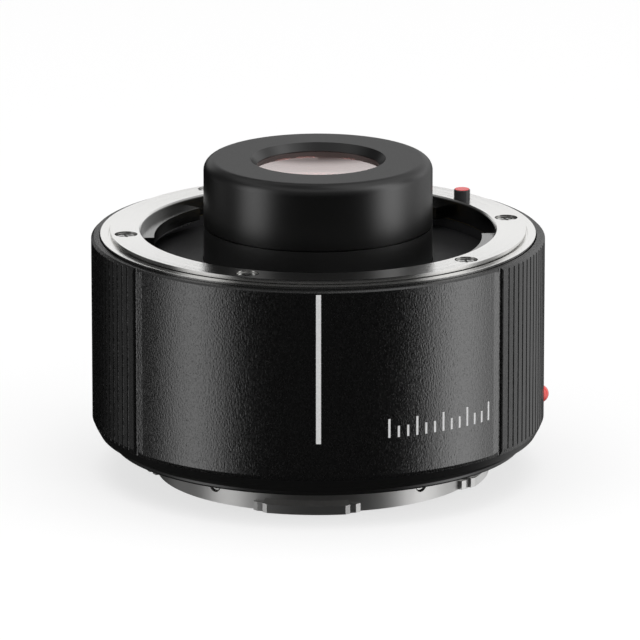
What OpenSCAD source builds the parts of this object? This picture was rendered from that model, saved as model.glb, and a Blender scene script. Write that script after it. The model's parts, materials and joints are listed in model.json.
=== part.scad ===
// Teleconverter for an interchangeable-lens camera: a barrel with a lens bayonet and a front
// hood on top, a camera bayonet below, and the optics, contacts and lens lock between them.
// Millimetres. The origin is on the optical axis at the foot of the camera bayonet.
// +Z points to the lens and -Y to the index line on the front of the barrel.

/* [Overall] */
// Outer diameter of the barrel
barrel_d = 71.4; // [66:0.1:80]
// Distance from the camera flange up to the lens mount face
flange_to_face = 34.4; // [33:0.1:40]
// Depth of the camera bayonet below the camera flange
spigot_h = 4.75; // [4.6:0.05:5.5]
// Height of the front hood above the lens mount face
hood_rise = 11.2; // [10:0.1:14]

/* [Barrel] */
// Wall of the barrel sleeve
barrel_wall = 1.3; // [1.2:0.05:1.5]
// Depth of the sleeve's top edge below the lens mount face
rim_drop = 1.05; // [0.8:0.05:1.5]
// Bevel round the sleeve's top edge
rim_bevel = 0.4; // [0.3:0.05:1]
// Inset of the barrel's bottom edge, at the camera flange
taper_inset = 3; // [2.6:0.05:3.4]
// Width of the bevel at the sleeve's foot
sleeve_bevel_w = 0.4; // [0.2:0.05:0.6]
// Height of that bevel
sleeve_bevel_h = 0.95; // [0.6:0.05:1.5]
// Height of the smooth rear ring, up to the sleeve
rear_ring_h = 3.15; // [3:0.05:3.5]
// Inset of the rear ring's knee from the barrel's outer edge
knee_inset = 1.1; // [0.8:0.05:1.4]
// Height of that knee above the camera flange
knee_h = 1.85; // [1.5:0.05:1.9]
// Height of the upright band at the foot of the rear ring
foot_band_h = 0.35; // [0.2:0.05:0.5]
// Width of the rear ring's foot, outside the mount seal
foot_lip_w = 0.45; // [0.35:0.05:0.6]
// Depth of the front panel below the grips
panel_sink = 0.15; // [0.1:0.05:0.3]
// Width of the slope from the panel up to the grips
panel_slope_w = 1.05; // [0.8:0.05:1.2]
// Width of the groove between that slope and the grips
edge_groove_w = 1.1; // [0.8:0.1:1.2]
// Grip grooves on each side of the barrel
groove_count = 26; // [8:1:26]
// Angle from one grip groove to the next
groove_pitch = 2.4; // [2:0.1:2.5]
// Radius of a grip groove
groove_r = 0.2; // [0.15:0.05:0.4]
// Half the angle of the plain panel at the front
panel_half_angle = 50; // [40:1:52]
// Diameter of the red index dot
dot_d = 2.6; // [2:0.1:3.4]
// Height of the index dot's dome
dot_rise = 0.8; // [0.5:0.05:0.9]
// Height of the index dot above the camera flange
dot_h = 7.3; // [6.5:0.1:14]

/* [Lens bayonet] */
// Inset of the raised mount face from the barrel's outer edge
face_inset = 3; // [2.6:0.05:3.3]
// Width of the raised mount face, from its outer edge to the throat
face_w = 4.85; // [4.5:0.05:5.4]
// Depth of a claw into the throat
claw_depth = 2.05; // [1.8:0.05:2.3]
// Angle that each claw covers
claw_sweep = 46; // [40:1:50]
// Depth of a claw's top below the lens mount face
claw_drop = 1.3; // [0.8:0.05:1.5]
// Thickness of the lens mount plate
plate_t = 3.25; // [3:0.05:3.6]
// Depth of the outer ledge below the mount face
ledge_drop = 0.66; // [0.4:0.02:0.9]
// Distance of the six face screws from the outer edge of the mount face
face_screw_inset = 2.3; // [2.1:0.05:2.5]
// Diameter of a face screw's recess
face_recess_d = 3.6; // [3.4:0.1:4]
// Depth of the throat floor below the mount face
floor_drop = 4.95; // [4.8:0.05:5.4]
// Thickness of the throat floor
floor_t = 1.2; // [1:0.1:1.6]

/* [Camera bayonet] */
// Width of the flange round the spigot
flange_w = 6.05; // [5.6:0.05:6.6]
// Wall of the spigot
spigot_wall = 2.25; // [2:0.05:2.3]
// Height that the lugs stand out from the spigot
lug_depth = 1.55; // [1.2:0.05:1.8]
// Height of a lug's outer face
lug_t = 1.4; // [1.2:0.05:1.5]
// Angle that a lug covers at its full height
lug_sweep = 29.5; // [26:0.5:32]
// Angle that a lug covers with its end steps
lug_step_sweep = 37.3; // [34:0.1:40]
// Thickness of the flange
flange_t = 2; // [1.9:0.05:2.4]
// Diameter of the hole for the camera's lock pin
lock_hole_d = 2.7; // [2.5:0.05:2.8]
// Width of the rear light aperture
aperture_w = 28; // [24:0.5:30]
// Height of the rear light aperture
aperture_h = 20; // [16:0.5:22]

/* [Lens lock] */
// Distance of the lock pin from the edge of the throat
lock_inset = 1.7; // [1.7:0.05:1.9]
// Diameter of the lock pin's nose
lock_pin_d = 2.6; // [2.4:0.05:2.6]
// Height of the lock pin above the mount face
lock_pin_rise = 1.6; // [1.2:0.05:1.8]
// Travel of the lock pin and the release knob
lock_travel = 1.8; // [1.7:0.05:2.2]
// Length of the lock spring when the pin is up
lock_spring_l = 5; // [4.8:0.1:6]
// Turns of the lock spring
lock_spring_turns = 4.5; // [3.5:0.5:4.5]
// Diameter of the lock spring's wire
lock_wire_d = 0.44; // [0.36:0.02:0.46]
// Width of the release knob
knob_w = 9; // [7:0.5:12]
// Height that the release knob stands clear of the slot, above and below
knob_cover = 0.5; // [0.4:0.1:1.2]
// Thickness of the release knob
knob_t = 1.3; // [1.2:0.05:1.6]

/* [Contacts] */
// Angle from one contact to the next
contact_pitch = 7.2; // [6.6:0.1:7.4]
// Diameter of a contact pin's tip
contact_d = 0.8; // [0.6:0.05:0.9]
// Height of the contact pins above their block
contact_rise = 0.6; // [0.55:0.05:0.9]
// Travel of a contact pin
contact_travel = 0.5; // [0.3:0.05:0.55]
// Radial width of the contact blocks
block_w = 3.1; // [2.9:0.1:3.1]
// Height of the front contact block above the throat floor
block_rise = 0.7; // [0.4:0.1:0.9]

/* [Optics] */
// Gap from the front hood to the contact block
hood_gap = 2.2; // [1.8:0.05:3]
// Wall of the front hood
hood_wall = 1.4; // [1.2:0.1:2]
// Rounding of the hood's top edge
hood_edge_r = 1.8; // [1:0.1:2]
// Width of the hood's front wall, from its outer edge to the opening
lip_w = 7.35; // [6.6:0.05:8]
// Depth of the bevel into the opening
opening_bevel_h = 1.2; // [0.8:0.1:1.2]
// Width of the bevel into the opening
opening_bevel_w = 0.95; // [0.6:0.05:1.1]
// Thickness of the hood's front wall
lip_t = 1.3; // [1.3:0.1:2]
// Height of the seam below the hood, above the mount face
seam_rise = 0.6; // [0.4:0.05:1]
// Width of the seat that holds the front element behind the opening
glass_seat_w = 1.4; // [1.3:0.05:2]
// Width of the stop behind the front elements
stop_w = 2.3; // [1.6:0.1:3]
// Step from the optical barrel's front part in to its rear tube
rear_tube_step = 0.5; // [0.3:0.05:1]
// Wall of the optical barrel's rear tube
rear_tube_wall = 3.3; // [2.6:0.1:4]
// Width of the optical barrel's fixing flange
barrel_flange_w = 6.5; // [6:0.1:7.4]

/* [Frame and board] */
// Wall of the inner frame
frame_wall = 2; // [1.8:0.05:2.1]
// Thickness of the frame's web, which carries the optical barrel
web_t = 2; // [1.6:0.1:3]
// Thickness of the frame's bottom ring
bottom_ring_t = 3; // [2.4:0.1:5]
// Thickness of the adjusting shims
shim_t = 0.1; // [0.05:0.05:0.3]
// Height of the posts under the circuit board
post_h = 6.8; // [5:0.1:7.6]
// Thickness of the circuit board
board_t = 1; // [0.6:0.1:1.2]
// Thickness of the ribbon to the rear contacts
ribbon_t = 0.3; // [0.15:0.05:0.4]

/* [Fits] */
// Radial clearance of sliding pins
running_fit = 0.05; // [0.03:0.01:0.08]
// Clearance of pieces that are dropped in place
slip_fit = 0.1; // [0.05:0.01:0.12]
// Clearance of the frame in the sleeve
sleeve_fit = 0.2; // [0.15:0.01:0.25]
// Clearance round the release knob and its slide
slide_gap = 0.2; // [0.15:0.01:0.22]

/* [Hidden] */
$fn = 128;
eps = 0.01;

// Angles round the axis, counter-clockwise from +X and seen from the lens side
front_angle = 270;
back_angle = 90;
claw_angles = [66, 160, 250, 340];
face_screw_angles = [12, 68, 125, 188, 249, 319];
lug_angles = [82, 172, 266, 348.5];
flange_screw_angles = [22, 127, 219, 309];
baffle_screw_angles = [39, 141, 231, 309];
web_screw_angles = [10, 150, 250];
post_angles = [62, 112, 158];
chip_angles = [78, 98, 138];
lock_angle = 39;
camera_lock_angle = 75;
dot_angle = 0;
contact_count = 10;
board_from = 47;
board_to = 167;

// Heights
z_flange = spigot_h;
z_face = z_flange + flange_to_face;
z_rim = z_face - rim_drop;
z_plate_low = z_face - plate_t;
z_frame_top = z_plate_low - shim_t;
z_floor = z_face - floor_drop;
z_floor_low = z_floor - floor_t;
floor_ledge_t = 1;
z_top_ring_low = z_floor_low - floor_ledge_t;
z_ring_top = z_flange + rear_ring_h;
z_flange_top = z_flange + flange_t;
z_frame_low = z_flange_top + shim_t;
z_bottom_ring_top = z_frame_low + bottom_ring_t;

// Radii of the shell and the frame
barrel_r = barrel_d / 2;
base_r = barrel_r - taper_inset;
sleeve_in_r = barrel_r - barrel_wall;
dot_seat_t = 0.3;
dot_seat_r = sleeve_in_r + dot_seat_t;
frame_r = sleeve_in_r - sleeve_fit;
frame_in_r = frame_r - frame_wall;
plate_r = frame_r + running_fit;
face_r = barrel_r - face_inset;
face_bevel = 0.3;
ledge_groove_w = 0.3;
ledge_groove_depth = 0.4;
face_screw_r = face_r - face_screw_inset;
throat_r = face_r - face_w;
claw_r = throat_r - claw_depth;
seal_w = 0.5;
seal_proud = 0.05;
ring_lip_r = base_r - foot_lip_w;
seal_r = ring_lip_r - running_fit - seal_w;
flange_r = seal_r - slip_fit;
flange_rim_w = 0.55;
flange_step_h = 0.75;
flange_rim_t = flange_t - flange_step_h;
flange_step_r = flange_r - flange_rim_w;
spigot_r = flange_r - flange_w;
spigot_in_r = spigot_r - spigot_wall;
lug_r = spigot_r + lug_depth;
lug_root_r = spigot_r - spigot_wall / 4;
lug_step_depth = 0.85;
lug_step_r = spigot_r + lug_step_depth;
lug_corner_w = 0.3;
lug_corner_l = 0.82;
ring_bevel = 0.3;
ring_seat_gap = 0.1;
ring_wall = 1.1;
bottom_ring_lap = 1;
bottom_ring_in_r = spigot_r - bottom_ring_lap;

// Rear ring: an upright band, a taper up to a knee and a steeper one up to the sleeve
band_top = ring_bevel + foot_band_h;
knee_r = barrel_r - knee_inset;
ring_top_r = barrel_r - sleeve_bevel_w;
seat_share = (z_frame_low - z_flange - knee_h) / (rear_ring_h - knee_h);
frame_foot_r = knee_r + (ring_top_r - knee_r) * seat_share - ring_wall - ring_seat_gap;
ring_seat_r = frame_foot_r + ring_seat_gap;

// Front panel and grooves of the barrel, with angles counted from the front
panel_r = barrel_r - panel_sink;
panel_slope_top = panel_half_angle + 2 * asin(panel_slope_w / 2 / barrel_r);
edge_land_w = 0.1;
edge_groove_half = asin(edge_groove_w / 2 / barrel_r);
edge_groove_at = panel_slope_top + asin(edge_land_w / barrel_r) + edge_groove_half;
grip_from = edge_groove_at + edge_groove_half;
groove_l = z_rim - z_ring_top + 2 * eps;

// Screws: radius and height of the head, radius and length of the shaft
head_gap = 0.15;
face_screw = [face_recess_d / 2 - head_gap, 0.8, 0.8, 4.6];
face_screw_sink = 0.3;
flange_screw = [1.6, 0.8, 0.8, 3.4];
flange_screw_sink = 0.2;
flange_screw_inset = 2.75;
flange_screw_r = spigot_r + flange_screw_inset;
web_screw = [1.4, 0.8, 0.7, 3.2];
web_screw_inset = 2.5;
board_screw = [1.3, 0.7, 0.6, 4];
block_screw_head = [0.9, 0.6, 0.45];
baffle_screw = [1, 0.8, 0.5, 3];
bracket_screw = [1.15, 0.8, 0.6, 2.4];
knob_screw_size = [1.2, 0.6, 0.6, 3.4];
screw_hole_gap = 0.05;
slot_w = 0.36;
slot_depth = 0.4;

// Lens lock, from the frame's top ring down
lock_r = throat_r + lock_inset;
lock_pin_r = lock_pin_d / 2;
lock_bore_r = lock_pin_r + running_fit;
lock_nose_bevel = 0.15;
lock_neck_w = 0.2;
lock_shank_r = lock_pin_r - lock_neck_w;
lock_guide_r = lock_shank_r + running_fit;
lock_collar_w = 0.45;
lock_collar_r = lock_shank_r + lock_collar_w;
lock_relief_r = lock_hole_d / 2 + 3 * slip_fit;
lock_relief_h = 2;
lock_collar_h = 1.2;
lock_stem_r = 0.7;
fork_h = 1.5;
fork_half_w = 2.8;
touch_gap = 0.05;
z_fork_top = z_top_ring_low - slide_gap;
z_fork_low = z_fork_top - fork_h;
z_collar_top = z_fork_low - touch_gap;
z_collar_low = z_collar_top - lock_collar_h;
z_bracket_top = z_collar_low - lock_spring_l;
bracket_t = 1;
z_bracket_low = z_bracket_top - bracket_t;
bracket_foot_gap = 1.2;
z_web_top = z_bracket_low - lock_travel - bracket_foot_gap;
z_web_low = z_web_top - web_t;
bracket_half_w = 2.6;
bracket_in_w = 2.5;
bracket_out_w = 1.35;
bracket_in_r = lock_r - bracket_in_w;
bracket_out_r = lock_r + bracket_out_w;
foot_w = 5;
lock_wire_r = lock_wire_d / 2;
lock_coil_r = lock_stem_r + lock_wire_r + slip_fit * 2;
slide_stem_h = 3.4;
slide_stem_half_w = 1.8;
slide_stem_in_r = lock_r + lock_collar_r + slide_gap;
z_slide_stem_low = z_fork_top - slide_stem_h;
z_slot_low = z_slide_stem_low - lock_travel - slide_gap;
z_slot_top = z_fork_top + slide_gap / 2;
knob_in_r = barrel_r + slide_gap;
knob_r = knob_in_r + knob_t;
z_knob_low = z_slot_low - knob_cover;
z_knob_top = z_slot_top + lock_travel + knob_cover;
z_knob_mid = (z_slide_stem_low + z_fork_top) / 2;
knob_corner_r = 1.5;
knob_edge = 0.4;
knob_screw_sink = 0.15;
knob_groove_r = 0.35;
knob_groove_heights = [2.2, 3.52];

// Contacts and board
contact_r = spigot_in_r - block_w / 2;
contact_from = back_angle - contact_pitch * (contact_count - 1) / 2;
block_in_r = contact_r - block_w / 2;
block_out_r = contact_r + block_w / 2;
block_half_angle = contact_pitch * (contact_count - 1) / 2 + 10.2;
block_screw_angle = block_half_angle - 3.2;
block_cut_angle = block_half_angle + 0.4;
z_block_top = z_floor + block_rise;
z_board_low = z_web_top + post_h;
z_board_top = z_board_low + board_t;
contact_tip_r = contact_d / 2;
contact_collar_r = contact_tip_r + 0.3;
contact_collar_h = 1.25;
contact_guide_t = 1;
contact_spring_wall = 0.2;
z_contact_collar_top = z_block_top - contact_guide_t - touch_gap;
z_contact_collar_low = z_contact_collar_top - contact_collar_h;
z_contact_spring_top = z_contact_collar_low - contact_travel - slip_fit;
pad_r = 0.8;
pad_h = 1.5;
pad_proud = 0.05;
rear_block_rise = 0.6;
hood_r = block_in_r - hood_gap;
board_in_gap = 0.9;
board_in_r = hood_r + board_in_gap;
board_out_gap = 2.2;
board_out_r = frame_in_r - board_out_gap;
post_r = 1.7;
post_inset = 4.1;
post_ring_r = frame_in_r - post_inset;
chip_size = [3.6, 5, 0.9];
chip_inset = 3.2;
chip_r = board_out_r - chip_inset;
ribbon_w = 8;
ribbon_y = contact_r - ribbon_t / 2;
ribbon_gap = 0.4;

// Rear baffle
baffle_r = spigot_in_r - slip_fit;
baffle_wall = 2.6;
baffle_in_r = baffle_r - baffle_wall;
baffle_rise = 1.2;
baffle_roof_t = 1.2;
baffle_top_gap = 0.75;
z_baffle_top = z_flange_top - baffle_top_gap;
z_roof_low = z_baffle_top - baffle_roof_t;
baffle_screw_h = 2.8;
aperture_corner_r = 2;

// Contact block screws, which reach from a recess in each block to the far side of its seat
block_screw_recess = 0.9;
block_screw_end_gap = 0.1;
z_rear_block_screw = rear_block_rise + block_screw_recess;
rear_block_screw = concat(block_screw_head, z_baffle_top - z_rear_block_screw - block_screw_end_gap);
z_front_block_screw = z_block_top - block_screw_recess;
front_block_screw = concat(block_screw_head, z_front_block_screw - z_board_low - block_screw_end_gap);

// Optics, from the hood down and from the rear end up
hood_in_r = hood_r - hood_wall;
front_tube_r = hood_in_r - slip_fit;
opening_r = hood_r - lip_w;
inner_opening_r = opening_r - opening_bevel_w;
z_hood_top = z_face + hood_rise;
z_seam = z_face + seam_rise;
z_lip = z_hood_top - lip_t;
seam_gap_h = 0.25;
seam_gap_w = 0.7;
glass_fit = 0.05;
front_glass_r = inner_opening_r + glass_seat_w;
rear_tube_r = hood_r - rear_tube_step;
rear_glass_r = rear_tube_r - rear_tube_wall - glass_fit;
web_in_r = rear_tube_r + sleeve_fit;
barrel_flange_r = hood_r + barrel_flange_w;
web_screw_r = barrel_flange_r - web_screw_inset;
cement_gap = 0.1;
land_w = 1.2;
front_stack = [3.35, 2.8, 1.4, 3.1];
z_glass_1_low = z_lip - front_stack[0];
z_glass_2_top = z_glass_1_low - front_stack[1];
z_glass_2_low = z_glass_2_top - front_stack[2];
z_glass_3_top = z_glass_2_low - cement_gap;
z_glass_3_low = z_glass_3_top - front_stack[3];
stop_t = 2;
stop_r = front_glass_r - stop_w;
z_stop_low = z_glass_3_low - stop_t;
rear_stack = [3, 4.5, 2.5, 4, 3];
z_glass_4_low = z_stop_low - rear_stack[0];
z_glass_5_top = z_glass_4_low - rear_stack[1];
z_glass_5_low = z_glass_5_top - rear_stack[2];
z_glass_6_top = z_glass_5_low - cement_gap;
z_glass_6_low = z_glass_6_top - rear_stack[3];
tube_foot_gap = 0.3;
z_tube_low = z_flange_top + tube_foot_gap;
retainer_t = 2;
z_glass_7_low = z_tube_low + retainer_t;
z_glass_7_top = z_glass_7_low + rear_stack[4];
spacer_wall = 1.2;
barrel_flange_t = 2;

// Depth of the lens faces at their centres, top and bottom: a bulge is positive, a hollow negative
glass_1_sag = [-0.66, -0.79];
glass_2_sag = [1.37, 1.37];
glass_3_sag = [-1.37, 0];
glass_4_sag = [-0.94, -0.94];
glass_5_sag = [1.9, 1.41];
glass_6_sag = [-1.41, -1.06];
glass_7_sag = [1.71, 0.7];

function contact_angle(i) = contact_from + contact_pitch * i;
function contact_pin_name(i) = str("contact_pin_", i < 9 ? "0" : "", i + 1);

// Shared shapes

// A plain ring between two radii and two heights
module tube(r_in, r_out, z_low, z_high) {
  rotate_extrude()
    translate([r_in, z_low])
      square([r_out - r_in, z_high - z_low]);
}

// Part of a ring, from one angle to another
module sector(r_in, r_out, z_low, z_high, from, to) {
  rotate([0, 0, from])
    rotate_extrude(angle = to - from)
      translate([r_in, z_low])
        square([r_out - r_in, z_high - z_low]);
}

// Places its children at a radius, an angle and a height
module at_polar(r, angle, z) {
  rotate([0, 0, angle])
    translate([r, 0, z])
      children();
}

// Turns its children so that their +Z points away from the axis
module facing_out(angle, z) {
  rotate([0, 0, angle])
    translate([0, 0, z])
      rotate([0, 90, 0])
        children();
}

// A cross-head screw that points down, with the underside of its head at zero
module screw(size) {
  head_bevel = 0.15;
  cross_half = 0.65 * size[0];
  difference() {
    rotate_extrude()
      polygon([
        [0, -size[3]], [size[2], -size[3]], [size[2], 0], [size[0], 0],
        [size[0], size[1] - head_bevel], [size[0] - head_bevel, size[1]], [0, size[1]],
      ]);
    for (turn = [0, 90])
      rotate([0, 0, turn])
        translate([-cross_half, -slot_w / 2, size[1] - slot_depth])
          cube([2 * cross_half, slot_w, slot_depth + eps]);
  }
}

// The hole for such a screw: the shaft, and room for the head up to a height above its underside
module screw_hole(size, head_room) {
  translate([0, 0, -size[3] - screw_hole_gap])
    cylinder(r = size[2] + screw_hole_gap, h = size[3] + screw_hole_gap + eps);
  if (head_room > 0)
    cylinder(r = size[0] + head_gap, h = head_room);
}

// A lens element between two heights, with the depths of its top and bottom faces.
// A flat land is left round each curved face, where the mounting rings seat.
module lens(r, z_low, z_high, sag) {
  $fn = 256;
  clear_r = r - land_w;
  difference() {
    union() {
      translate([0, 0, z_low])
        cylinder(r = r, h = z_high - z_low);
      if (sag[0] > 0)
        translate([0, 0, z_high])
          lens_cap(clear_r, sag[0]);
      if (sag[1] > 0)
        translate([0, 0, z_low])
          mirror([0, 0, 1])
            lens_cap(clear_r, sag[1]);
    }
    if (sag[0] < 0)
      translate([0, 0, z_high + sag[0] + face_curve(clear_r, -sag[0])])
        sphere(r = face_curve(clear_r, -sag[0]));
    if (sag[1] < 0)
      translate([0, 0, z_low - sag[1] - face_curve(clear_r, -sag[1])])
        sphere(r = face_curve(clear_r, -sag[1]));
  }
}

// Radius of a lens face from the radius of its edge and its depth at the centre
function face_curve(clear_r, depth) = (pow(clear_r, 2) + pow(depth, 2)) / (2 * depth);

// The bulge of a lens face, above zero
module lens_cap(clear_r, depth) {
  curve = face_curve(clear_r, depth);
  intersection() {
    translate([0, 0, depth - curve])
      sphere(r = curve);
    translate([0, 0, -eps])
      cylinder(r = clear_r, h = depth + 2 * eps);
  }
}

// The slot through which the release slide reaches the knob
module release_slot() {
  half_w = slide_stem_half_w + slide_gap;
  rotate([0, 0, lock_angle])
    translate([slide_stem_in_r, -half_w, z_slot_low])
      cube([knob_r - slide_stem_in_r, 2 * half_w, z_slot_top - z_slot_low]);
}

// The slope from the front panel up to the grips, for a panel that faces +X
module panel_slope() {
  foot = panel_r * [cos(panel_half_angle), sin(panel_half_angle)];
  run = barrel_r * [cos(panel_slope_top), sin(panel_slope_top)] - foot;
  translate([foot[0], foot[1], z_ring_top - eps])
    rotate([0, 0, atan2(run[1], run[0])])
      translate([0, -barrel_wall, 0])
        cube([norm(run) + edge_groove_w, barrel_wall, groove_l]);
}

// Outer shell

module outer_barrel() {
  color([0.06, 0.06, 0.065])
    difference() {
      rotate_extrude()
        polygon([
          [sleeve_in_r, z_ring_top], [ring_top_r, z_ring_top],
          [barrel_r, z_ring_top + sleeve_bevel_h], [barrel_r, z_rim - rim_bevel],
          [barrel_r - rim_bevel, z_rim], [sleeve_in_r, z_rim],
        ]);
      sector(panel_r, barrel_r + barrel_wall, z_ring_top - eps, z_rim + eps,
        front_angle - panel_half_angle, front_angle + panel_half_angle);
      for (side = [0, 1])
        rotate([0, 0, front_angle])
          mirror([0, side, 0]) {
            panel_slope();
            at_polar(barrel_r, edge_groove_at, z_ring_top - eps)
              cylinder(r = edge_groove_w / 2, h = groove_l, $fn = 32);
            for (i = [1 : groove_count])
              at_polar(barrel_r, grip_from + groove_pitch * i, z_ring_top - eps)
                cylinder(r = groove_r, h = groove_l, $fn = 24);
          }
      release_slot();
      facing_out(dot_angle, z_flange + dot_h)
        translate([0, 0, dot_seat_r])
          cylinder(r = dot_d / 2 + running_fit, h = barrel_wall, $fn = 48);
    }
}

module rear_ring() {
  z_tongue = z_flange + flange_rim_t + running_fit;
  color([0.05, 0.05, 0.052])
    rotate_extrude()
      polygon([
        [ring_lip_r, z_flange], [base_r - ring_bevel, z_flange], [base_r, z_flange + ring_bevel],
        [base_r, z_flange + band_top], [knee_r, z_flange + knee_h], [ring_top_r, z_ring_top],
        [ring_seat_r, z_ring_top], [ring_seat_r, z_frame_low],
        [flange_step_r + slip_fit, z_frame_low], [flange_step_r + slip_fit, z_tongue], [ring_lip_r, z_tongue],
      ]);
}

module mount_seal() {
  color([0.03, 0.03, 0.03])
    tube(seal_r, seal_r + seal_w, z_flange - seal_proud, z_flange + flange_rim_t + running_fit);
}

module index_dot() {
  dome_r = (pow(dot_d / 2, 2) + pow(dot_rise, 2)) / (2 * dot_rise);
  color([0.85, 0.08, 0.1])
    facing_out(dot_angle, z_flange + dot_h) {
      translate([0, 0, dot_seat_r])
        cylinder(r = dot_d / 2, h = barrel_r - dot_seat_r + eps, $fn = 48);
      intersection() {
        translate([0, 0, barrel_r + dot_rise - dome_r])
          sphere(r = dome_r, $fn = 64);
        translate([0, 0, barrel_r])
          cylinder(r = dot_d, h = dot_rise + eps);
      }
    }
}

// Frame

module main_frame() {
  z_foot = z_ring_top + ring_seat_gap;
  color([0.22, 0.22, 0.24])
    difference() {
      union() {
        rotate_extrude()
          polygon([
            [frame_foot_r, z_frame_low], [frame_foot_r, z_foot],
            [frame_r, z_foot], [frame_r, z_frame_top], [throat_r + slip_fit, z_frame_top],
            [throat_r + slip_fit, z_floor_low], [throat_r - floor_ledge_t, z_floor_low],
            [throat_r - floor_ledge_t, z_top_ring_low], [frame_in_r, z_top_ring_low],
            [frame_in_r, z_web_top], [web_in_r, z_web_top], [web_in_r, z_web_low],
            [frame_in_r, z_web_low], [frame_in_r, z_bottom_ring_top],
            [bottom_ring_in_r, z_bottom_ring_top], [bottom_ring_in_r, z_frame_low],
          ]);
        for (angle = post_angles)
          at_polar(post_ring_r, angle, z_web_top - eps)
            cylinder(r = post_r, h = post_h + eps, $fn = 48);
      }
      for (angle = face_screw_angles)
        at_polar(face_screw_r, angle, z_face - face_screw_sink - face_screw[1])
          screw_hole(face_screw, 0);
      for (angle = flange_screw_angles)
        at_polar(flange_screw_r, angle, z_flange + flange_screw_sink + flange_screw[1])
          mirror([0, 0, 1])
            screw_hole(flange_screw, 0);
      for (angle = web_screw_angles)
        at_polar(web_screw_r, angle, z_web_top + barrel_flange_t)
          screw_hole(web_screw, 0);
      for (angle = post_angles)
        at_polar(post_ring_r, angle, z_board_top)
          screw_hole(board_screw, 0);
      at_polar(lock_r, lock_angle, z_top_ring_low - eps)
        cylinder(r = lock_guide_r, h = z_frame_top - z_top_ring_low + 2 * eps, $fn = 64);
      at_polar(lock_r, camera_lock_angle, z_frame_low - eps)
        cylinder(r = lock_relief_r, h = lock_relief_h, $fn = 64);
      bracket_screw_place()
        screw_hole(bracket_screw, 0);
      release_slot();
      ribbon_slot();
    }
}

// The window that lets the ribbon past the web and the optical barrel's flange
module ribbon_slot() {
  translate([-ribbon_w / 2 - ribbon_gap, ribbon_y - ribbon_gap, z_web_low - eps])
    cube([ribbon_w + 2 * ribbon_gap, ribbon_t + 2 * ribbon_gap, web_t + barrel_flange_t + 2 * eps]);
}

// Lens bayonet

module front_bayonet() {
  z_ledge = z_face - ledge_drop;
  color([0.8, 0.8, 0.79])
    difference() {
      union() {
        rotate_extrude()
          polygon([
            [throat_r, z_plate_low], [plate_r, z_plate_low], [plate_r, z_ledge],
            [face_r + ledge_groove_w, z_ledge], [face_r + ledge_groove_w, z_ledge - ledge_groove_depth],
            [face_r, z_ledge - ledge_groove_depth], [face_r, z_face], [throat_r + face_bevel, z_face],
            [throat_r, z_face - face_bevel],
          ]);
        for (angle = claw_angles)
          rotate([0, 0, angle - claw_sweep / 2])
            rotate_extrude(angle = claw_sweep)
              translate([claw_r, z_plate_low])
                square([claw_depth + face_bevel, plate_t - claw_drop]);
      }
      for (angle = face_screw_angles)
        at_polar(face_screw_r, angle, z_face - face_screw_sink - face_screw[1])
          screw_hole(face_screw, face_screw_sink + face_screw[1] + eps);
      at_polar(lock_r, lock_angle, z_plate_low - eps)
        cylinder(r = lock_bore_r, h = plate_t + 2 * eps, $fn = 64);
    }
}

module front_bayonet_screws() {
  color([0.7, 0.7, 0.7])
    for (angle = face_screw_angles)
      at_polar(face_screw_r, angle, z_face - face_screw_sink - face_screw[1])
        rotate([0, 0, angle])
          screw(face_screw);
}

module front_shim() {
  color([0.75, 0.68, 0.45])
    difference() {
      tube(throat_r + slip_fit, plate_r - slip_fit, z_frame_top, z_plate_low);
      for (angle = face_screw_angles)
        at_polar(face_screw_r, angle, z_plate_low)
          screw_hole(face_screw, shim_t);
      at_polar(lock_r, lock_angle, z_frame_top - eps)
        cylinder(r = lock_bore_r, h = shim_t + 2 * eps, $fn = 64);
    }
}

// Leaf springs under the claws, which draw the lens against the mount face
module bayonet_springs() {
  leaf_t = 0.2;
  leaf_gap = 0.25;
  leaf_in_gap = 0.4;
  leaf_out_gap = 0.2;
  leaf_in_r = claw_r + leaf_in_gap;
  leaf_out_r = throat_r - leaf_out_gap;
  pad_inset = 0.2;
  pad_from = claw_sweep / 2 - 7;
  pad_to = claw_sweep / 2 - 3;
  leaf_half = claw_sweep / 2 - 2;
  z_leaf = z_plate_low - leaf_gap - leaf_t;
  color([0.72, 0.72, 0.7])
    for (angle = claw_angles) {
      sector(leaf_in_r, leaf_out_r, z_leaf, z_leaf + leaf_t, angle - leaf_half, angle + leaf_half);
      for (side = [0, 1])
        rotate([0, 0, angle])
          mirror([0, side, 0])
            sector(leaf_in_r + pad_inset, leaf_out_r - pad_inset, z_leaf + leaf_t / 2, z_plate_low,
              pad_from, pad_to);
    }
}

module throat_floor() {
  color([0.07, 0.07, 0.075])
    difference() {
      tube(hood_r + slip_fit, throat_r, z_floor_low, z_floor);
      sector(block_in_r - slip_fit, block_out_r + slip_fit, z_floor_low - eps, z_floor + eps,
        back_angle - block_cut_angle, back_angle + block_cut_angle);
    }
}

// Optics

module front_hood() {
  edge_steps = 24;
  color([0.045, 0.045, 0.048])
    rotate_extrude()
      polygon(concat(
        [
          [hood_in_r, z_seam], [hood_r - seam_gap_w, z_seam],
          [hood_r - seam_gap_w, z_seam + seam_gap_h], [hood_r, z_seam + seam_gap_h],
        ],
        [for (i = [0 : edge_steps]) let (a = 90 * i / edge_steps)
          [hood_r - hood_edge_r + hood_edge_r * cos(a), z_hood_top - hood_edge_r + hood_edge_r * sin(a)]],
        [
          [opening_r, z_hood_top], [inner_opening_r, z_hood_top - opening_bevel_h],
          [inner_opening_r, z_lip], [hood_in_r, z_lip],
        ]
      ));
}

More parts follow.
